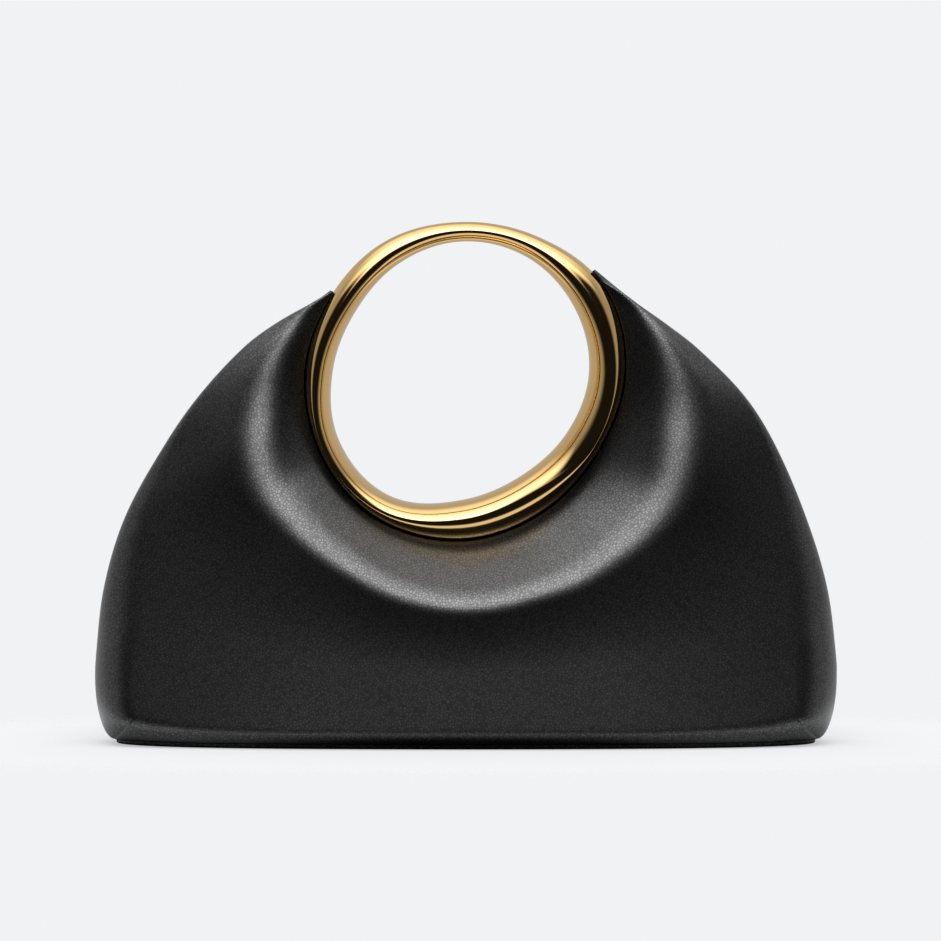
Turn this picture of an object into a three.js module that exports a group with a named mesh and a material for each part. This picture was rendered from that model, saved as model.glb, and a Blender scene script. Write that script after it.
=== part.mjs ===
// Half-moon clutch bag: two moulded leather panels gathered round a polished ring handle, on a flat base.
// Millimetres, +Z up, front towards -Y. The origin is on the floor under the middle of the base.
import * as THREE from 'three';

const { clamp, degToRad, euclideanModulo, lerp, radToDeg } = THREE.MathUtils;

// A table with named columns, as one object for each row.
function table(columns, rows) {
  const names = columns.split(' ');
  return rows.map((row) => Object.fromEntries(names.map((name, i) => [name, row[i]])));
}

// Overall sizes
const FOOT_HEIGHT = 1.8;    // underside of the panels' turned-in lower edge
const GAP = 0.3;            // clearance between neighbouring pieces

// Base plate: bowed along its long sides by a share of its depth, with blunt round ends
const BASE = { halfLength: 137.5, halfDepth: 36, bow: 0.35, endPower: 14, thickness: 2.4 };

// Ring handle: the middle of its hole, and the powers of its two sides, of which 2 makes an oval and less a bevel
const RING = { x: -2, z: 145.6, innerPower: 1.7, outerPower: 2, sections: 52, sides: 16 };

// Ring sections by degrees from +X turning up: the radii of the hole, of the nose that stands out half a width from
// the middle plane, and of the outer side. The leather meets the ring at the depth `meet`.
const RING_SECTIONS = table('angle hole nose outer halfWidth meet', [
  [0, 50.2, 59, 64.8, 13.5, 6],
  [30, 51.1, 57.6, 65.6, 11, 4],
  [60, 51.8, 56.5, 61, 8, 3.6],
  [90, 51, 54.8, 58.7, 6, 3.4],
  [120, 48.8, 53.3, 59.1, 7.5, 3.6],
  [150, 47.5, 53, 59, 10.5, 4.4],
  [180, 50.2, 56.3, 61.3, 13, 6.5],
  [210, 54.8, 61.3, 64.1, 14, 10],
  [240, 56, 62.2, 67.7, 14.4, 11],
  [270, 50.3, 57.7, 67.6, 14.5, 9],
  [300, 47.1, 54.9, 64.9, 14.4, 8],
  [330, 47.9, 58.8, 62.8, 14, 8],
]);

// Half lengths of the arch by height, from its widest level up
const ARCH = table('height left right', [
  [26.4, 145.5, 145.5],
  [32.7, 145.3, 145.4],
  [61.2, 142, 141.7],
  [89.2, 133.5, 133.2],
  [117.7, 117.7, 120.9],
  [136.7, 104.3, 108.8],
  [155.2, 87.1, 90.4],
  [164.7, 74.4, 78.1],
  [174.2, 57.7, 64.7],
]);

// Shoulders: the side that each lies on, and the direction from the ring's middle to its tip
const SHOULDERS = {
  left: { side: 'left', sign: -1, tipAngle: 148 },
  right: { side: 'right', sign: 1, tipAngle: 37.3 },
};
const TIP_LENGTH = 1;       // leather left between the ring and the seam at each tip

// Panel sections by degrees away from straight down. Depths are forward from the middle plane. A section starts
// at the ring and slopes up to a crest, `left` or `right` away by its side and `crest` deep, rounded over `round`.
// At the share `hollow` of the way to the edge lies a hollow that is `dip` deep. From there a face runs to depth
// `face`, where it turns in over `turn`. The leather is `wall` thick.
const PANEL_SECTIONS = table('away left right crest round hollow dip face turn wall', [
  [0, 22.5, 22.5, 37, 7.5, 0.28, 2.2, 42, 7, 1.6],
  [20, 20, 24, 35.2, 7.5, 0.28, 2, 40.5, 7, 1.6],
  [30, 18.5, 26, 33.5, 8, 0.28, 1.8, 37.5, 8, 1.6],
  [40, 19, 27.2, 31.2, 8.5, 0.28, 1.5, 31.5, 13, 1.6],
  [50, 20, 29.3, 28.4, 10, 0.3, 1.2, 20.5, 18, 1.6],
  [60, 22.3, 30.8, 25.3, 12, 0.34, 0.9, 10.5, 11, 1.6],
  [70, 21, 28.4, 22, 14, 0.4, 0.6, 5, 5, 1.6],
  [80, 17, 24.6, 17.8, 14, 0.5, 0.3, 3.6, 3, 1.6],
  [90, 13.8, 20.6, 14, 12, 0.58, 0.1, 3.2, 2.5, 1.6],
  [100, 10.6, 15.7, 10, 8, 0.6, 0, 3, 2, 1.5],
  [110, 8, 9.4, 6.2, 4, 0.6, 0, 2.8, 1.6, 1.3],
  [122, 0.7, 0.7, 4.6, 0.3, 0.5, 0, 3, 0.5, 1],
]);
const HOLLOW_REACH = 0.3;   // share of the face below it that the hollow's rounding takes
const CREST_SHARE = 0.85;   // most of the way to the hollow that the crest's rounding may take
const TURN_SHARE = 0.68;    // most of the face that the edge's turn may take
const DOWN = -90;           // direction from the ring to the base, in degrees
const BACKWARD = new THREE.Vector3(0, 1, 0);

// Facets along the outline and across each section
const STEPS = { arch: 15, turnIn: 4, foot: 24, slope: 2, crest: 5, hollow: 3, face: 1, turn: 5 };

// Slope of one column of a table at one of its rows.
function rowSlope(rows, key, column, index) {
  const before = rows[Math.max(index - 1, 0)];
  const after = rows[Math.min(index + 1, rows.length - 1)];
  return (after[column] - before[column]) / (after[key] - before[key]);
}

// Smooth value of one column of a table at a place between its rows.
function readTable(rows, key, column, at) {
  const passed = rows.filter((row) => row[key] <= at).length;
  const next = clamp(passed, 1, rows.length - 1);
  const low = rows[next - 1];
  const high = rows[next];
  const span = high[key] - low[key];
  const t = clamp((at - low[key]) / span, 0, 1);
  const leave = rowSlope(rows, key, column, next - 1) * span;
  const arrive = rowSlope(rows, key, column, next) * span;
  const fromLow = (1 - t) ** 2 * (low[column] * (1 + 2 * t) + leave * t);
  const fromHigh = t ** 2 * (high[column] * (3 - 2 * t) - arrive * (1 - t));
  return fromLow + fromHigh;
}

// The ring's table continued past a full turn, so that it reads smoothly all the way round.
const RING_ROUND = [
  ...RING_SECTIONS.slice(-2).map((row) => ({ ...row, angle: row.angle - 360 })),
  ...RING_SECTIONS,
  ...RING_SECTIONS.slice(0, 2).map((row) => ({ ...row, angle: row.angle + 360 })),
];

// One size of the ring's section at an angle.
function ringSize(column, angle) {
  return readTable(RING_ROUND, 'angle', column, euclideanModulo(angle, 360));
}

// A point of the upright plane through the ring's middle, by angle and radius, as x and z.
function aroundRing(angle, radius) {
  const turn = degToRad(angle);
  return new THREE.Vector2(RING.x + radius * Math.cos(turn), RING.z + radius * Math.sin(turn));
}

// Radius at which leather lies against the ring's outer side, at a depth in front of the middle plane.
function ringEdgeRadius(angle, depth) {
  const [nose, outer, halfWidth] = ['nose', 'outer', 'halfWidth'].map((column) => ringSize(column, angle));
  return nose + (outer - nose) * (1 - (depth / halfWidth) ** 2) ** (1 / RING.outerPower) + GAP;
}

// Solid skinned over loops of points. An open run is capped by joining each end loop across itself.
function loft(loops, closed) {
  const sides = loops[0].length;
  const spans = closed ? loops.length : loops.length - 1;
  const indices = [];
  const quad = (a, b, c, d) => indices.push(a, b, c, a, c, d);
  for (let i = 0; i < spans; i += 1) {
    const here = i * sides;
    const next = ((i + 1) % loops.length) * sides;
    for (let j = 0; j < sides; j += 1) {
      const k = (j + 1) % sides;
      quad(here + j, here + k, next + k, next + j);
    }
  }
  if (!closed) {
    const end = (loops.length - 1) * sides;
    for (let j = 0; j < sides / 2 - 1; j += 1) {
      const across = sides - 1 - j;
      quad(across, across - 1, j + 1, j);
      quad(end + j, end + j + 1, end + across - 1, end + across);
    }
  }
  const geometry = new THREE.BufferGeometry();
  const positions = loops.flat().flatMap((point) => point.toArray());
  geometry.setAttribute('position', new THREE.Float32BufferAttribute(positions, 3));
  geometry.setIndex(indices);
  geometry.computeVertexNormals();
  return geometry;
}

function ringGeometry() {
  const loops = [];
  for (let i = 0; i < RING.sections; i += 1) {
    const angle = (360 * i) / RING.sections;
    const [hole, nose, outer, halfWidth] = ['hole', 'nose', 'outer', 'halfWidth'].map(
      (column) => ringSize(column, angle),
    );
    const loop = [];
    for (let j = 0; j < RING.sides; j += 1) {
      const around = (2 * Math.PI * j) / RING.sides;
      const side = Math.cos(around);
      const outside = (outer - nose) * Math.max(side, 0) ** (2 / RING.outerPower);
      const inside = (hole - nose) * Math.max(-side, 0) ** (2 / RING.innerPower);
      const flat = aroundRing(angle, nose + outside + inside);
      loop.push(new THREE.Vector3(flat.x, halfWidth * Math.sin(around), flat.y));
    }
    loops.push(loop);
  }
  return loft(loops, true);
}

// Front edge of the base as x and depth, set in from the panels' lower edge, in closer steps near its ends.
function baseEdge(inset) {
  const halfLength = BASE.halfLength - inset;
  const edge = [];
  for (let i = 0; i <= STEPS.foot; i += 1) {
    const t = lerp(-1, 1, i / STEPS.foot);
    const x = halfLength * Math.sin((t * Math.PI) / 2);
    const share = Math.abs(x) / halfLength;
    const bow = 1 - BASE.bow * share ** 2;
    edge.push({ x, depth: (BASE.halfDepth - inset) * bow * Math.sqrt(1 - share ** BASE.endPower) });
  }
  return edge;
}

function baseGeometry() {
  const edge = baseEdge(GAP);
  const front = edge.map(({ x, depth }) => new THREE.Vector2(x, -depth));
  const back = edge.slice(1, -1).reverse().map(({ x, depth }) => new THREE.Vector2(x, depth));
  const outline = new THREE.Shape([...front, ...back]);
  return new THREE.ExtrudeGeometry(outline, { depth: BASE.thickness, bevelEnabled: false });
}

// One side seam in the middle plane, from the end of the base up to the tip at the ring.
function seamPoints({ side, sign, tipAngle }) {
  const widest = ARCH[0];
  const turnIn = new THREE.EllipseCurve(
    BASE.halfLength, widest.height,
    widest[side] - BASE.halfLength, widest.height - FOOT_HEIGHT,
    -Math.PI / 2, 0,
  );
  const points = turnIn.getPoints(STEPS.turnIn);
  const tip = aroundRing(tipAngle, ringEdgeRadius(tipAngle, 0) + TIP_LENGTH);
  const arch = [...ARCH, { height: tip.y, [side]: tip.x * sign }];
  for (let i = 1; i <= STEPS.arch; i += 1) {
    const climb = Math.sin((i / STEPS.arch) * (Math.PI / 2));
    const height = lerp(widest.height, tip.y, climb);
    points.push(new THREE.Vector2(readTable(arch, 'height', side, height), height));
  }
  return points.map((point) => ({ x: point.x * sign, z: point.y, depth: GAP / 2 }));
}

// The panel's whole outer edge, from the left tip down, along the base and up to the right tip.
function panelEdge() {
  const left = seamPoints(SHOULDERS.left).reverse();
  const right = seamPoints(SHOULDERS.right);
  const foot = baseEdge(0).slice(1, -1).map((place) => ({ ...place, z: FOOT_HEIGHT }));
  return [...left, ...foot, ...right];
}

// Points of one section of the panel's outer skin, from the ring out to a point of its edge.
function sectionPoints(edge) {
  const angle = radToDeg(Math.atan2(edge.z - RING.z, edge.x - RING.x));
  const away = Math.abs(euclideanModulo(angle - DOWN + 180, 360) - 180);
  const columns = Object.keys(PANEL_SECTIONS[0]);
  const size = Object.fromEntries(
    columns.map((column) => [column, readTable(PANEL_SECTIONS, 'away', column, away)]),
  );
  const meet = ringSize('meet', angle);
  const start = aroundRing(angle, ringEdgeRadius(angle, meet));
  const outward = new THREE.Vector2(edge.x, edge.z).sub(start);
  const length = outward.length();
  outward.normalize();

  const foot = new THREE.Vector2(0, meet);
  const crest = new THREE.Vector2(edge.x < RING.x ? size.left : size.right, size.crest);
  const corner = new THREE.Vector2(length, size.face);
  const hollow = crest.clone().lerp(corner, size.hollow);
  hollow.y -= size.dip;
  const rim = new THREE.Vector2(length, edge.depth);
  const faceLength = hollow.distanceTo(corner);
  const towards = (from, to, reach) => to.clone().sub(from).setLength(reach).add(from);
  const crestStart = towards(crest, foot, size.round);
  const crestEnd = towards(crest, hollow, Math.min(size.round, crest.distanceTo(hollow) * CREST_SHARE));
  const hollowEnd = towards(hollow, corner, faceLength * HOLLOW_REACH);
  const turnStart = towards(corner, hollow, Math.min(size.turn, faceLength * TURN_SHARE));
  const profile = [
    ...new THREE.LineCurve(foot, crestStart).getPoints(STEPS.slope),
    ...new THREE.QuadraticBezierCurve(crestStart, crest, crestEnd).getPoints(STEPS.crest).slice(1),
    ...new THREE.QuadraticBezierCurve(crestEnd, hollow, hollowEnd).getPoints(STEPS.hollow).slice(1),
    ...new THREE.LineCurve(hollowEnd, turnStart).getPoints(STEPS.face).slice(1),
    ...new THREE.QuadraticBezierCurve(turnStart, corner, rim).getPoints(STEPS.turn).slice(1),
  ];
  const skin = profile.map((p) => {
    const flat = start.clone().addScaledVector(outward, p.x);
    return new THREE.Vector3(flat.x, -p.y, flat.y);
  });
  return { skin, wall: size.wall };
}

// Direction that points out of the leather at one point of a grid of sections. Each section ends running
// straight back, so that the panel's edge is cut square.
function outwardNormal(sections, i, j) {
  const at = (row, column) => sections[clamp(row, 0, sections.length - 1)].skin[column];
  const atEdge = j === sections[0].skin.length - 1;
  const along = at(i + 1, j).clone().sub(at(i - 1, j));
  const across = atEdge ? BACKWARD.clone() : at(i, j + 1).clone().sub(at(i, Math.max(j - 1, 0)));
  return across.cross(along).normalize();
}

// Front panel as loops: out along the outer skin of each section and back along its inner skin.
function panelLoops() {
  const sections = panelEdge().map(sectionPoints);
  return sections.map(({ skin, wall }, i) => {
    const inner = skin.map((point, j) => {
      const outward = outwardNormal(sections, i, j);
      return point.clone().addScaledVector(outward, -wall);
    });
    return [...skin, ...inner.reverse()];
  });
}

function mirrored(loops) {
  const flip = new THREE.Vector3(1, -1, 1);
  return loops.map((loop) => loop.map((point) => point.clone().multiply(flip)).reverse());
}

function piece(name, geometry, material) {
  const mesh = new THREE.Mesh(geometry, material);
  mesh.name = name;
  return mesh;
}

const leather = () => new THREE.MeshStandardMaterial({ color: 0x1b1b1c, roughness: 0.55, metalness: 0 });
const gold = () => new THREE.MeshStandardMaterial({ color: 0xd9a441, roughness: 0.12, metalness: 1 });

const bag = new THREE.Group();
const loops = panelLoops();
bag.add(
  piece('front_panel', loft(loops, false), leather()),
  piece('back_panel', loft(mirrored(loops), false), leather()),
  piece('base_panel', baseGeometry(), leather()),
  piece('ring_handle', ringGeometry(), gold()),
);

export default bag;
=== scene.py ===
"""Half-moon clutch bag: two moulded leather panels round a polished ring handle, on a flat base.

The scene is in metres, +Z up, with the front towards -Y. Sizes and tables are in millimetres,
as in the part's source, and MM turns them into metres.
"""
import math

import bpy
import numpy as np
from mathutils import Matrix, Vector


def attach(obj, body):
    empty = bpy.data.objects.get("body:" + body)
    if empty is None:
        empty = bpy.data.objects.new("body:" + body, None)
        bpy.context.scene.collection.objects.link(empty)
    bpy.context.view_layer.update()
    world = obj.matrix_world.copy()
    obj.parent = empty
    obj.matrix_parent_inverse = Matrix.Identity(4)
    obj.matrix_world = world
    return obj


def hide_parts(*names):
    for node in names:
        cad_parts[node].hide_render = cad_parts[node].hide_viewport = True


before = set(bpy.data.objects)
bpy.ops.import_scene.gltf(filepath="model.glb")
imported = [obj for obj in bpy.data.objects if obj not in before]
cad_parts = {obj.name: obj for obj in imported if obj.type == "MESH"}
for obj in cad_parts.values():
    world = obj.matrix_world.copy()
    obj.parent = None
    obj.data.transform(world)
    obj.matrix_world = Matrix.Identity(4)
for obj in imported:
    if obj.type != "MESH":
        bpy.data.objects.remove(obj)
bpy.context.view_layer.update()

MM = 0.001

# Overall sizes
FOOT_HEIGHT = 1.8       # underside of the panels' turned-in lower edge
GAP = 0.3               # clearance between neighbouring pieces
SEAM_GAP = -0.02        # below zero: the panels' edges are pressed together where their seam is drawn shut

# Base plate: bowed along its long sides, with blunt round ends
BASE_HALF_LENGTH = 137.5
BASE_HALF_DEPTH = 36
BASE_BOW = 0.35         # share of the depth that the bow takes at the ends
BASE_END_POWER = 7      # bluntness of the ends
BASE_THICKNESS = 2.4
BASE_ROUND = 0.9        # rounding of the plate's edges

# Ring handle: the middle of its hole, and the powers of its two sides. A power of 2 makes an oval,
# and less makes a bevel.
RING_X = -2
RING_Z = 145.6
INNER_POWER = 1.7
OUTER_POWER = 2
RING_STEPS = 384
RING_SIDES = 72

# Shoulders: the side that each lies on, and the direction from the ring's middle to its tip
SHOULDERS = (
    {"side": "left", "sign": -1, "tip_angle": 148},
    {"side": "right", "sign": 1, "tip_angle": 37.3},
)
TIP_LENGTH = 1          # leather left between the ring and the seam at each tip

# Panel sections
HOLLOW_REACH = 0.3      # share of the face below it that the hollow's rounding takes
CREST_SHARE = 0.85      # most of the way to the hollow that the crest's rounding may take
TURN_SHARE = 0.68       # most of the face that the edge's turn may take
FOOT_SHARE = 0.25       # most of the slope that the rounding of its edge at the ring may take
DOWN = -90              # direction from the ring to the base, in degrees

# Steps along the panels' outline, across their sections and round their cut edges
ARCH_STEPS, TURN_IN_STEPS, FOOT_STEPS = 64, 14, 110
SLOPE_STEPS, CREST_STEPS, HOLLOW_STEPS, FACE_STEPS, TURN_STEPS = 12, 24, 16, 8, 28
EDGE_STEPS = 4          # a half of an edge's rounding

# Camera, in millimetres and degrees
CAMERA_TARGET = (1.8, 0, 106.9)
CAMERA_DISTANCE = 2500
CAMERA_ELEVATION = 2
VIEW_WIDTH = 369        # what the picture takes in at the target
SENSOR_WIDTH = 36


def table(columns, *rows):
    """A table of numbers as one array for each named column."""
    values = np.array(rows, float).T
    return dict(zip(columns.split(), values))


# Ring sections by degrees from +X turning up: the radii of the hole, of the nose that stands out
# half a width from the middle plane, and of the outer side. The leather meets the ring at the depth `meet`.
RING_SECTIONS = table(
    "angle hole nose outer half_width meet",
    (0, 50.2, 59, 64.8, 13.5, 6),
    (30, 51.1, 57.6, 65.6, 11, 4),
    (60, 51.8, 56.5, 61, 8, 3.6),
    (90, 51, 54.8, 58.7, 6, 3.4),
    (120, 48.8, 53.3, 59.1, 7.5, 3.6),
    (150, 47.5, 53, 59, 10.5, 4.4),
    (180, 50.2, 56.3, 61.3, 13, 6.5),
    (210, 54.8, 61.3, 64.1, 14, 10),
    (240, 56, 62.2, 67.7, 14.4, 11),
    (270, 50.3, 57.7, 67.6, 14.5, 9),
    (300, 47.1, 54.9, 64.9, 14.4, 8),
    (330, 47.9, 58.8, 62.8, 14, 8),
)

# Half lengths of the arch by height, from its widest level up
ARCH = table(
    "height left right",
    (26.4, 145.5, 145.5),
    (32.7, 145.3, 145.4),
    (61.2, 142, 141.7),
    (89.2, 133.5, 133.2),
    (117.7, 117.7, 120.9),
    (136.7, 104.3, 108.8),
    (155.2, 87.1, 90.4),
    (164.7, 74.4, 78.1),
    (174.2, 57.7, 64.7),
)

# Panel sections by degrees away from straight down. Depths are forward from the middle plane.
# A section starts at the ring and slopes up to a crest, `left` or `right` away by its side and `crest` deep,
# rounded over `round`. At the share `hollow` of the way to the edge lies a hollow that is `dip` deep.
# From there a face runs to depth `face`, where it turns in over `turn`. The leather is `wall` thick.
PANEL_SECTIONS = table(
    "away left right crest round hollow dip face turn wall",
    (0, 22.5, 22.5, 37, 7.5, 0.28, 2.2, 42, 7, 1.6),
    (20, 20, 24, 35.2, 7.5, 0.28, 2, 40.5, 7, 1.6),
    (30, 18.5, 26, 33.5, 8, 0.28, 1.8, 37.5, 8, 1.6),
    (40, 19, 27.2, 31.2, 8.5, 0.28, 1.5, 31.5, 12, 1.6),
    (50, 20, 29.3, 28.4, 10, 0.3, 1.2, 20.5, 23, 1.6),
    (60, 22.3, 30.8, 25.3, 12, 0.34, 0.9, 10.5, 20, 1.6),
    (70, 21, 28.4, 22, 14, 0.4, 0.6, 5, 9, 1.6),
    (80, 17, 24.6, 17.8, 14, 0.5, 0.3, 3.6, 3, 1.6),
    (90, 13.8, 20.6, 14, 12, 0.58, 0.1, 3.2, 2.5, 1.6),
    (100, 10.6, 15.7, 10, 8, 0.6, 0, 3, 2, 1.5),
    (110, 8, 9.4, 6.2, 4, 0.6, 0, 2.8, 1.6, 1.3),
    (122, 0.7, 0.7, 4.6, 0.3, 0.5, 0, 3, 0.5, 1),
)


def read_table(rows, key, column, at):
    """Smooth value of one column of a table at a place between its rows."""
    places, values = rows[key], rows[column]
    last = len(places) - 1
    index = np.arange(last + 1)
    before, after = np.maximum(index - 1, 0), np.minimum(index + 1, last)
    slopes = (values[after] - values[before]) / (places[after] - places[before])
    high = np.clip(np.searchsorted(places, at, side="right"), 1, last)
    low = high - 1
    span = places[high] - places[low]
    t = np.clip((at - places[low]) / span, 0, 1)
    from_low = (1 - t) ** 2 * (values[low] * (1 + 2 * t) + slopes[low] * span * t)
    from_high = t ** 2 * (values[high] * (3 - 2 * t) - slopes[high] * span * (1 - t))
    return from_low + from_high


def full_turn(rows, key):
    """A table by angle continued past a full turn, so that it reads smoothly all the way round."""
    reach = 2
    round_table = {}
    for column, values in rows.items():
        turn = 360 if column == key else 0
        round_table[column] = np.concatenate([values[-reach:] - turn, values, values[:reach] + turn])
    return round_table


RING_ROUND = full_turn(RING_SECTIONS, "angle")


def ring_size(column, angle):
    """One size of the ring's section at an angle."""
    return read_table(RING_ROUND, "angle", column, np.mod(angle, 360))


def around_ring(angle, radius):
    """A point of the upright plane through the ring's middle, by angle and radius, as x and z."""
    turn = np.radians(angle)
    return np.array([RING_X + radius * np.cos(turn), RING_Z + radius * np.sin(turn)])


def ring_edge_radius(angle, depth):
    """Radius at which leather lies against the ring's outer side, at a depth from the middle plane."""
    nose, outer, half_width = (ring_size(column, angle) for column in ("nose", "outer", "half_width"))
    return nose + (outer - nose) * (1 - (depth / half_width) ** 2) ** (1 / OUTER_POWER) + GAP


def straight(start, end, steps):
    """Points along a line, without its first one."""
    t = np.linspace(0, 1, steps + 1)[1:, None]
    return start + (end - start) * t


def bend(start, control, end, steps):
    """Points along a quadratic curve, without its first one."""
    t = np.linspace(0, 1, steps + 1)[1:, None]
    return start * (1 - t) ** 2 + control * 2 * t * (1 - t) + end * t ** 2


def towards(start, end, reach):
    """The point that lies a given reach from one point towards another."""
    way = end - start
    return start + way * (reach / np.linalg.norm(way))


def base_edge(inset, steps):
    """Front edge of the base as x and depth, set in from the panels' edge, in closer steps at its ends."""
    half_length = BASE_HALF_LENGTH - inset
    t = np.linspace(-1, 1, steps + 1)
    x = half_length * np.sin(t * np.pi / 2)
    share = np.abs(x) / half_length
    return x, (BASE_HALF_DEPTH - inset) * (1 - BASE_BOW * share ** 2) * np.sqrt(1 - share ** BASE_END_POWER)


def seam_points(side, sign, tip_angle):
    """One side seam in the middle plane, from the end of the base up to the tip at the ring, as x and z."""
    widest_height, half_length = ARCH["height"][0], ARCH[side][0]
    turn = np.linspace(-np.pi / 2, 0, TURN_IN_STEPS + 1)
    corner_x = BASE_HALF_LENGTH + (half_length - BASE_HALF_LENGTH) * np.cos(turn)
    corner_z = widest_height + (widest_height - FOOT_HEIGHT) * np.sin(turn)
    tip_x, tip_z = around_ring(tip_angle, ring_edge_radius(tip_angle, 0) + TIP_LENGTH)
    rows = {"height": np.append(ARCH["height"], tip_z), "half": np.append(ARCH[side], tip_x * sign)}
    climb = np.sin(np.linspace(0, np.pi / 2, ARCH_STEPS + 1)[1:])
    arch_z = widest_height + (tip_z - widest_height) * climb
    arch_x = read_table(rows, "height", "half", arch_z)
    return np.column_stack([np.append(corner_x, arch_x) * sign, np.append(corner_z, arch_z)])


def panel_edge():
    """The panel's outer edge as x, z and depth: from the left tip down, along the base, to the right tip."""
    left, right = (seam_points(**shoulder) for shoulder in SHOULDERS)
    foot_x, foot_depth = (values[1:-1] for values in base_edge(0, FOOT_STEPS))
    seam_depth = SEAM_GAP / 2
    foot = np.column_stack([foot_x, np.full_like(foot_x, FOOT_HEIGHT), foot_depth])
    left, right = (np.column_stack([side, np.full(len(side), seam_depth)]) for side in (left, right))
    return np.vstack([left[::-1], foot, right])


def section_points(edge):
    """One section of the panel's outer skin, from the ring to a point of its edge, and its wall."""
    x, z, edge_depth = edge
    angle = math.degrees(math.atan2(z - RING_Z, x - RING_X))
    away = abs((angle - DOWN + 180) % 360 - 180)
    size = {column: read_table(PANEL_SECTIONS, "away", column, away) for column in PANEL_SECTIONS}
    meet = ring_size("meet", angle)
    start = around_ring(angle, ring_edge_radius(angle, meet))
    outward = np.array([x, z]) - start
    length = np.linalg.norm(outward)
    outward /= length

    edge_round = size["wall"] / 2
    reach = size["left" if x < RING_X else "right"]
    crest = np.array([reach, size["crest"]])
    corner = np.array([length, size["face"]])
    hollow = crest + (corner - crest) * size["hollow"] - np.array([0, size["dip"]])
    rim = np.array([length, edge_depth + edge_round])
    foot = towards(np.array([0, meet]), crest, min(edge_round, reach * FOOT_SHARE))
    face_length = np.linalg.norm(corner - hollow)
    crest_start = towards(crest, foot, size["round"])
    crest_end = towards(crest, hollow, min(size["round"], np.linalg.norm(hollow - crest) * CREST_SHARE))
    hollow_end = towards(hollow, corner, face_length * HOLLOW_REACH)
    turn_start = towards(corner, hollow, min(size["turn"], face_length * TURN_SHARE))
    profile = np.vstack([
        foot,
        straight(foot, crest_start, SLOPE_STEPS),
        bend(crest_start, crest, crest_end, CREST_STEPS),
        bend(crest_end, hollow, hollow_end, HOLLOW_STEPS),
        straight(hollow_end, turn_start, FACE_STEPS),
        bend(turn_start, corner, rim, TURN_STEPS),
    ])
    flat = start + outward * profile[:, :1]
    return np.column_stack([flat[:, 0], -profile[:, 1], flat[:, 1]]), size["wall"]


def unit(vectors):
    return vectors / np.linalg.norm(vectors, axis=-1, keepdims=True)


def grid_directions(skin):
    """Unit directions across and out of a grid of skin points. Each section ends running straight back."""
    along = unit(np.gradient(skin, axis=0))
    across = unit(np.gradient(skin, axis=1))
    across[:, -1] = (0, 1, 0)
    return across, unit(np.cross(across, along))


def rounded_edge(skin, normal, beyond, wall):
    """Points round a cut edge of the leather, from its outer side to its inner side."""
    radius = wall[:, None] / 2
    middle = skin - normal * radius
    turns = (np.arange(2 * EDGE_STEPS) + 0.5) * np.pi / (2 * EDGE_STEPS)
    return [middle + radius * (normal * math.cos(turn) + beyond * math.sin(turn)) for turn in turns]


def panel_loops():
    """Front panel as loops of points, and for each place of a loop whether it lies on a cut edge."""
    sections = [section_points(edge) for edge in panel_edge()]
    skin = np.array([points for points, _ in sections])
    wall = np.array([thickness for _, thickness in sections])
    across, normal = grid_directions(skin)
    inner = skin - normal * wall[:, None, None]
    at_ring = rounded_edge(skin[:, 0], normal[:, 0], -across[:, 0], wall)
    at_rim = rounded_edge(skin[:, -1], normal[:, -1], across[:, -1], wall)
    columns = [
        *at_ring[:EDGE_STEPS][::-1],
        *np.moveaxis(skin, 1, 0),
        *at_rim,
        *np.moveaxis(inner[:, ::-1], 1, 0),
        *at_ring[EDGE_STEPS:][::-1],
    ]
    half_edge, side = [True] * EDGE_STEPS, [False] * skin.shape[1]
    cut = half_edge + side + half_edge + half_edge + side + half_edge
    return np.stack(columns, axis=1), np.array(cut)


def loft_faces(loops, sides, closed):
    """Faces skinned over loops of points. An open run is capped by joining each end loop across itself."""
    faces = []
    for i in range(loops if closed else loops - 1):
        here, following = i * sides, (i + 1) % loops * sides
        for j in range(sides):
            k = (j + 1) % sides
            faces.append((here + j, here + k, following + k, following + j))
    if not closed:
        end = (loops - 1) * sides
        for j in range(sides // 2 - 1):
            opposite = sides - 1 - j
            faces.append((opposite, opposite - 1, j + 1, j))
            faces.append((end + j, end + j + 1, end + opposite - 1, end + opposite))
    return faces


def make_piece(name, points, faces, materials, face_materials=None):
    """A smooth mesh object from points in millimetres."""
    mesh = bpy.data.meshes.new(name)
    mesh.from_pydata(np.asarray(points).reshape(-1, 3) * MM, [], faces)
    for material in materials:
        mesh.materials.append(material)
    if face_materials is not None:
        mesh.polygons.foreach_set("material_index", np.asarray(face_materials, np.int32))
    mesh.polygons.foreach_set("use_smooth", np.ones(len(mesh.polygons), bool))
    mesh.validate()
    mesh.update()
    piece = bpy.data.objects.new(name, mesh)
    bpy.context.scene.collection.objects.link(piece)
    return piece


def make_panel(name, mirrored, materials):
    """One panel, with the first material on its sides and the second on its cut edges."""
    loops, cut = panel_loops()
    if mirrored:
        loops = (loops * (1, -1, 1))[:, ::-1]
        cut = cut[::-1]
    count, sides = loops.shape[:2]
    faces = loft_faces(count, sides, closed=False)
    on_cut = cut & np.roll(cut, -1)
    face_materials = [int(on_cut[face[0] % sides]) for face in faces]
    return make_piece(name, loops, faces, materials, face_materials)


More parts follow.
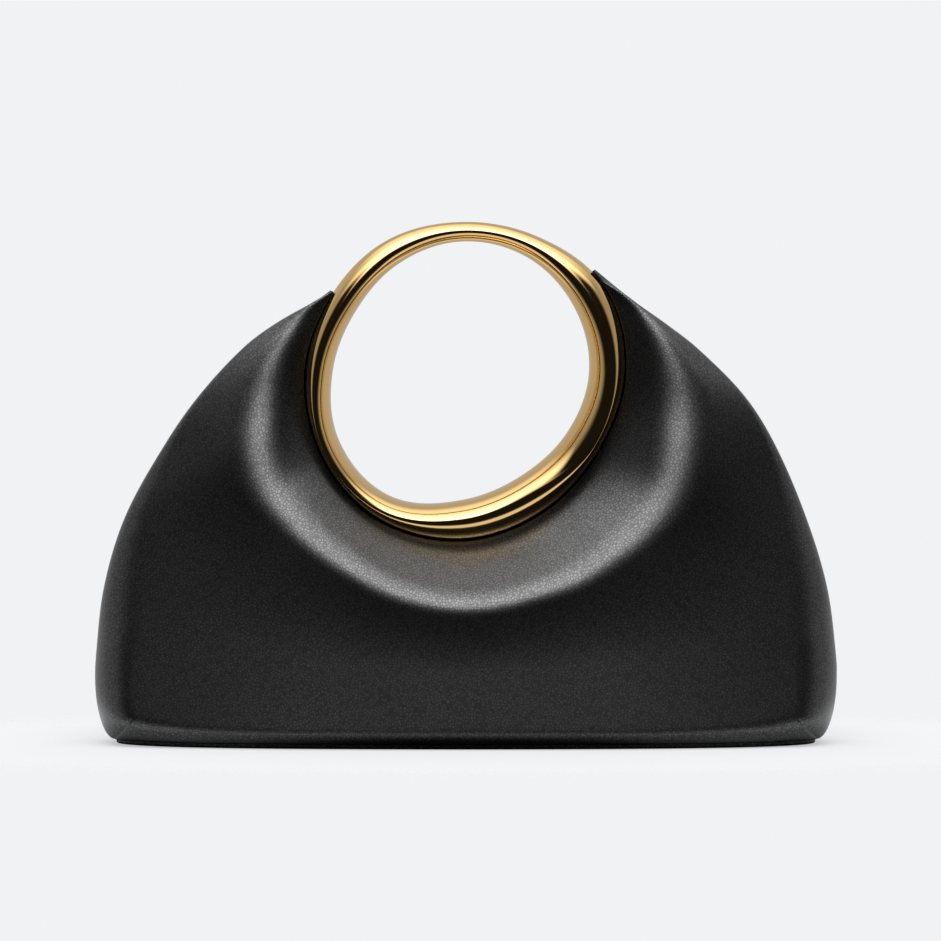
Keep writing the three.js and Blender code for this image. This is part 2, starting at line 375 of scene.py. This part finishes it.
def make_ring(name, material):
    """The ring as sections of two half ovals that meet at its nose."""
    angles = np.arange(RING_STEPS)[:, None] * 360 / RING_STEPS
    around = np.arange(RING_SIDES) * 2 * np.pi / RING_SIDES
    columns = ("hole", "nose", "outer", "half_width")
    hole, nose, outer, half_width = (ring_size(column, angles) for column in columns)
    side = np.cos(around)
    outside = (outer - nose) * np.maximum(side, 0) ** (2 / OUTER_POWER)
    inside = (hole - nose) * np.maximum(-side, 0) ** (2 / INNER_POWER)
    x, z = around_ring(angles, nose + outside + inside)
    loops = np.stack([x, half_width * np.sin(around), z], axis=-1)
    return make_piece(name, loops, loft_faces(RING_STEPS, RING_SIDES, closed=True), [material])


def make_base(name, material):
    """A plate with rounded edges, as outlines set in and raised step by step, capped straight across."""
    turn = np.linspace(0, np.pi / 2, 2 * EDGE_STEPS + 1)
    insets = GAP + BASE_ROUND * (1 - np.sin(turn))
    heights = BASE_ROUND * (1 - np.cos(turn))
    levels = [*zip(insets, heights), *zip(insets[::-1], BASE_THICKNESS - heights[::-1])]
    loops = []
    for inset, height in levels:
        x, depth = base_edge(inset, FOOT_STEPS)
        front = np.column_stack([x, -depth, np.full_like(x, height)])
        back = front[::-1] * (1, -1, 1)
        loops.append(np.vstack([front, back]))
    loops = np.array(loops)
    count, sides = loops.shape[:2]
    return make_piece(name, loops, loft_faces(count, sides, closed=False), [material])


class Nodes:
    """Short ways to add and join the nodes of one tree."""

    def __init__(self, tree):
        self.tree = tree

    def add(self, kind, inputs=(), **settings):
        node = self.tree.nodes.new(kind)
        for name, value in settings.items():
            setattr(node, name, value)
        for name, value in dict(inputs).items():
            self.put(node.inputs[name], value)
        return node

    def put(self, socket, value):
        if isinstance(value, bpy.types.NodeSocket):
            self.tree.links.new(value, socket)
        else:
            socket.default_value = value

    def math(self, operation, first, second=0.0):
        return self.add("ShaderNodeMath", {0: first, 1: second}, operation=operation).outputs[0]

    def vector_math(self, operation, inputs):
        return self.add("ShaderNodeVectorMath", inputs, operation=operation).outputs

    def ramp(self, value, low, high, to_low=0.0, to_high=1.0):
        """Smooth change from one value to another as the input goes from low to high."""
        inputs = {"Value": value, "From Min": low, "From Max": high, "To Min": to_low, "To Max": to_high}
        return self.add("ShaderNodeMapRange", inputs, interpolation_type="SMOOTHSTEP").outputs["Result"]

    def noise(self, vector, scale, detail=2.0):
        inputs = {"Vector": vector, "Scale": scale, "Detail": detail}
        return self.add("ShaderNodeTexNoise", inputs).outputs

    def relief(self, height, depth, strength=1.0):
        inputs = {"Strength": strength, "Distance": depth, "Height": height}
        return self.add("ShaderNodeBump", inputs).outputs["Normal"]

    def blend(self, share, low, high):
        """Colour between two colours."""
        colours = {"Factor_Float": share, "A_Color": low, "B_Color": high}
        node = self.add("ShaderNodeMix", data_type="RGBA")
        for socket in node.inputs:
            if socket.identifier in colours:
                self.put(socket, colours[socket.identifier])
        return next(socket for socket in node.outputs if socket.identifier == "Result_Color")


def new_material(name):
    """A material with its main shader's inputs, its node tree and the places on its object, in metres."""
    material = bpy.data.materials.new(name)
    material.use_nodes = True
    nodes = Nodes(material.node_tree)
    shader = material.node_tree.nodes["Principled BSDF"].inputs
    place = nodes.add("ShaderNodeTexCoord").outputs["Object"]
    return material, shader, nodes, place


# Leather grain, in metres and in shares of its pitch
GRAIN_PITCH = 0.0011    # from one pebble to the next
GRAIN_DEPTH = 0.000012  # height of a pebble over its creases
GRAIN_DRIFT = 0.0003    # how far the pebbles stray from even cells
DRIFT_SCALE = 0.4       # changes of that drift in one pitch
CREASE_WIDTH = 0.32     # share of a pitch over which a pebble rises from its crease
PORE_SCALE = 3.5        # pores in one pitch
PORE_DEPTH = 0.3        # share of a pebble's height
# Reflection level in the creases and on the pebbles: the lower level in the creases is painted shade of the
# grain
CREASE_SHADED_REFLECTION, PEBBLE_GLOSS = 0.52, 1.0
LEATHER_IOR = 1.75      # glossy finish

# Worn patches of the leather: how many in a metre, and the noise over which they come in
WEAR_SCALE = 38
WEAR_RANGE = (0.3, 0.7)

# Tones and roughness of the leathers. Below a roughness of 0.275 the denoiser would blur the grain away.
PANEL_FINISH = {"dark": (0.001, 0.001, 0.0011), "light": (0.003, 0.003, 0.0032), "roughness": (0.276, 0.292)}
BASE_FINISH = {"dark": (0.005, 0.005, 0.005), "light": (0.01, 0.01, 0.01), "roughness": (0.45, 0.6)}


def leather(name, dark, light, roughness):
    """Black leather: pebbles parted by fine creases, uneven in tone and gloss, with the reflection lowered
    in the creases as painted shade.
    """
    material, shader, nodes, place = new_material(name)
    stray = nodes.noise(place, DRIFT_SCALE / GRAIN_PITCH, detail=1.0)["Color"]
    centred = nodes.vector_math("SUBTRACT", {0: stray, 1: (0.5, 0.5, 0.5)})[0]
    shift = nodes.vector_math("SCALE", {0: centred, "Scale": GRAIN_DRIFT})[0]
    strayed = nodes.vector_math("ADD", {0: place, 1: shift})[0]
    even_cells = {"Vector": strayed, "Scale": 1 / GRAIN_PITCH}
    cells = nodes.add("ShaderNodeTexVoronoi", even_cells, feature="DISTANCE_TO_EDGE").outputs["Distance"]
    pebbles = nodes.ramp(cells, 0.0, CREASE_WIDTH)
    pores = nodes.noise(place, PORE_SCALE / GRAIN_PITCH)["Fac"]
    height = nodes.math("ADD", pebbles, nodes.math("MULTIPLY", pores, PORE_DEPTH))
    patches = nodes.noise(place, WEAR_SCALE, detail=4.0)["Fac"]
    worn = nodes.math("MULTIPLY", pebbles, nodes.ramp(patches, *WEAR_RANGE))
    low, high = roughness
    nodes.put(shader["Base Color"], nodes.blend(worn, (*dark, 1), (*light, 1)))
    nodes.put(shader["Roughness"], nodes.ramp(worn, 0.0, 1.0, high, low))
    nodes.put(shader["Normal"], nodes.relief(height, GRAIN_DEPTH))
    # Painted shade: the reflection is lowered in the grain's creases, standing in for the shade that falls
    # into them
    reflection_with_painted_shade = shader["Specular IOR Level"]
    reflection_with_painted_shade.default_value = (CREASE_SHADED_REFLECTION + PEBBLE_GLOSS) / 2     # what is left where an export drops the link
    nodes.put(reflection_with_painted_shade, nodes.ramp(pebbles, 0.0, 1.0, CREASE_SHADED_REFLECTION, PEBBLE_GLOSS))
    shader["IOR"].default_value = LEATHER_IOR
    return material


# Edge paint, in metres
PAINT_DARK, PAINT_LIGHT = (0.006, 0.006, 0.006), (0.014, 0.014, 0.014)
PAINT_ROUGHNESS = (0.55, 0.7)
STREAK_SCALE = 420      # brush marks in a metre
STREAK_RANGE = (0.3, 0.7)
STREAK_DEPTH = 0.00005
STREAK_STRENGTH = 0.3


def edge_paint(name):
    """Black paint on the leather's cut edges: smoother than the grain, with a brushed unevenness."""
    material, shader, nodes, place = new_material(name)
    streaks = nodes.noise(place, STREAK_SCALE, detail=3.0)["Fac"]
    nodes.put(shader["Base Color"], nodes.blend(streaks, (*PAINT_DARK, 1), (*PAINT_LIGHT, 1)))
    nodes.put(shader["Roughness"], nodes.ramp(streaks, *STREAK_RANGE, *PAINT_ROUGHNESS))
    nodes.put(shader["Normal"], nodes.relief(streaks, STREAK_DEPTH, STREAK_STRENGTH))
    return material


# Polished gold, in metres
GOLD_DEEP, GOLD_PALE = (0.85, 0.56, 0.225), (0.89, 0.6, 0.255)
GOLD_ROUGHNESS = (0.05, 0.1)
HAZE_SCALE = 55         # patches of haze in a metre
HAZE_RANGE = (0.3, 0.75)
HAIRLINE_SCALE = (900, 90, 900)     # scratches in a metre, drawn out from front to back
HAIRLINE_DEPTH = 0.00002
HAIRLINE_STRENGTH = 0.02


def gold(name):
    """Mirror-polished gold colour, with faint handling haze and hairline scratches."""
    material, shader, nodes, place = new_material(name)
    haze = nodes.noise(place, HAZE_SCALE, detail=4.0)["Fac"]
    drawn_out = nodes.add("ShaderNodeMapping", {"Vector": place, "Scale": HAIRLINE_SCALE}).outputs[0]
    hairlines = nodes.noise(drawn_out, 1.0, detail=3.0)["Fac"]
    nodes.put(shader["Base Color"], nodes.blend(haze, (*GOLD_DEEP, 1), (*GOLD_PALE, 1)))
    nodes.put(shader["Roughness"], nodes.ramp(haze, *HAZE_RANGE, *GOLD_ROUGHNESS))
    nodes.put(shader["Normal"], nodes.relief(hairlines, HAIRLINE_DEPTH, HAIRLINE_STRENGTH))
    shader["Metallic"].default_value = 1.0
    return material


# Studio: radiance of the backdrop as the camera sees it and of all that lights the bag, by direction
BACKDROP = (0.880, 0.888, 0.905)
SURROUND = 0.52         # behind the bag
SIDE = 0.38             # beside it
FLOOR_GLOW = 0.9        # the floor in front of it
DARK = 0.01             # where the camera stands
SOFTBOX = 4.0           # the softbox at its front
SOFTBOX_BEHIND = 1.35   # the softbox behind the zenith

# Where each light starts and is full, by the y or z of its direction
BEHIND_Y = (0.0, 0.4)
BESIDE_Y = (-0.55, -0.15)
FLOOR_GLOW_Z = (-0.56, -0.7)
FLOOR_GLOW_Y = (0.1, -0.2)

# The softbox by tilt from the front over the zenith, in degrees: its ends, where it widens and where
# it dims. Half its width is full up to the first value and gone at the second.
BOX_START, BOX_END = (20, 34), (105, 150)
BOX_WIDENS, BOX_DIMS = (24, 78), (35, 95)
BOX_NARROW, BOX_WIDE = (0.1, 0.32), (0.4, 0.95)


def make_studio():
    """A pale surround behind and beside, a long softbox overhead, and darkness where the camera stands."""
    world = bpy.data.worlds.new("studio")
    bpy.context.scene.world = world
    world.use_nodes = True
    nodes = Nodes(world.node_tree)
    direction = nodes.add("ShaderNodeTexCoord").outputs["Generated"]
    x, y, z = nodes.add("ShaderNodeSeparateXYZ", {0: direction}).outputs
    side = nodes.math("ABSOLUTE", x)
    tilt = nodes.math("DEGREES", nodes.math("ARCTAN2", z, nodes.math("MULTIPLY", y, -1.0)))
    full_width, end_width = (nodes.ramp(tilt, *BOX_WIDENS, *widths) for widths in zip(BOX_NARROW, BOX_WIDE))
    across = nodes.ramp(side, full_width, end_width, 1.0, 0.0)
    along = nodes.math("MULTIPLY", nodes.ramp(tilt, *BOX_START), nodes.ramp(tilt, *BOX_END, 1.0, 0.0))
    level = nodes.ramp(tilt, *BOX_DIMS, SOFTBOX, SOFTBOX_BEHIND)
    softbox = nodes.math("MULTIPLY", nodes.math("MULTIPLY", across, along), level)
    beside = nodes.ramp(y, *BESIDE_Y, DARK, SIDE)
    behind = nodes.ramp(y, *BEHIND_Y, DARK, SURROUND)
    below = nodes.ramp(z, *FLOOR_GLOW_Z, 0.0, FLOOR_GLOW)
    below_in_front = nodes.math("MULTIPLY", below, nodes.ramp(y, *FLOOR_GLOW_Y))
    radiance = softbox
    for light in (beside, behind, below_in_front):
        radiance = nodes.math("MAXIMUM", radiance, light)
    seen = nodes.add("ShaderNodeLightPath").outputs["Is Camera Ray"]
    background = world.node_tree.nodes["Background"]
    nodes.put(background.inputs["Color"], nodes.blend(seen, radiance, (*BACKDROP, 1)))


# Floor: a pale sheet that fades into the backdrop, in millimetres
FLOOR_REACH = (320, 170)
FLOOR_FADE = 0.7        # share of the reach at which the fading starts
FLOOR_TONE = (0.385, 0.388, 0.396)
FLOOR_LIFT = 0.55       # light that the sheet itself gives
FLOOR_SHADE = (0.02, 0.02, 0.02)
CORNER_SIGNS = ((-1, -1), (1, -1), (1, 1), (-1, 1))

# The sheet as the bag mirrors it, in shares of the reach: where the shade under the bag turns into
# the sheet's own tone, and where the sheet's own light comes in
SHADE_REACH = (0.25, 0.42)
GLOW_REACH = (0.42, 0.58)


def floor_material(reach_x, reach_y):
    """Pale sheet, fading at its ends, that gives some light of its own and mirrors dark under the bag."""
    material, shader, nodes, place = new_material("floor")
    share = nodes.vector_math("MULTIPLY", {0: place, 1: (1 / reach_x, 1 / reach_y, 1)})[0]
    distance = nodes.vector_math("LENGTH", {0: share})["Value"]
    ray = nodes.add("ShaderNodeLightPath").outputs
    mirrored = ray["Is Glossy Ray"]
    shade = nodes.math("MULTIPLY", mirrored, nodes.ramp(distance, *SHADE_REACH, 1.0, 0.0))
    glow = nodes.math("MULTIPLY", mirrored, nodes.ramp(distance, *GLOW_REACH))
    lit = nodes.math("MAXIMUM", ray["Is Camera Ray"], glow)
    nodes.put(shader["Alpha"], nodes.ramp(distance, FLOOR_FADE, 1.0, 1.0, 0.0))
    nodes.put(shader["Base Color"], nodes.blend(shade, (*FLOOR_TONE, 1), (*FLOOR_SHADE, 1)))
    nodes.put(shader["Emission Strength"], nodes.math("MULTIPLY", lit, FLOOR_LIFT))
    shader["Emission Color"].default_value = (*BACKDROP, 1)
    shader["Roughness"].default_value = 1.0
    shader["Specular IOR Level"].default_value = 0.0
    return material


def make_floor():
    reach_x, reach_y = (reach * MM for reach in FLOOR_REACH)
    corners = [(x * reach_x, y * reach_y, 0) for x, y in CORNER_SIGNS]
    mesh = bpy.data.meshes.new("floor")
    mesh.from_pydata(corners, [], [(0, 1, 2, 3)])
    mesh.materials.append(floor_material(reach_x, reach_y))
    floor = bpy.data.objects.new("floor", mesh)
    bpy.context.scene.collection.objects.link(floor)


def make_camera():
    data = bpy.data.cameras.new("camera")
    data.sensor_width = SENSOR_WIDTH
    data.lens = SENSOR_WIDTH * CAMERA_DISTANCE / VIEW_WIDTH
    camera = bpy.data.objects.new("camera", data)
    elevation = math.radians(CAMERA_ELEVATION)
    back = Vector((0, -math.cos(elevation), math.sin(elevation)))
    camera.location = (Vector(CAMERA_TARGET) + back * CAMERA_DISTANCE) * MM
    camera.rotation_euler = (-back).to_track_quat("-Z", "Y").to_euler()
    bpy.context.scene.collection.objects.link(camera)
    bpy.context.scene.camera = camera


def carry(piece, node):
    """The piece stands for a node of the frame, whose imported part it hides, and rides on the bag's one
    body.
    """
    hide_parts(node)
    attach(piece, "root")


panel_leather = leather("panel_leather", **PANEL_FINISH)
base_leather = leather("base_leather", **BASE_FINISH)
paint = edge_paint("edge_paint")

carry(make_panel("front_leather", False, [panel_leather, paint]), "front_panel")
carry(make_panel("back_leather", True, [panel_leather, paint]), "back_panel")
carry(make_base("base_leather", base_leather), "base_panel")
carry(make_ring("polished_ring", gold("polished_gold")), "ring_handle")

make_floor()
make_studio()
make_camera()
bpy.context.scene.view_settings.view_transform = "Standard"
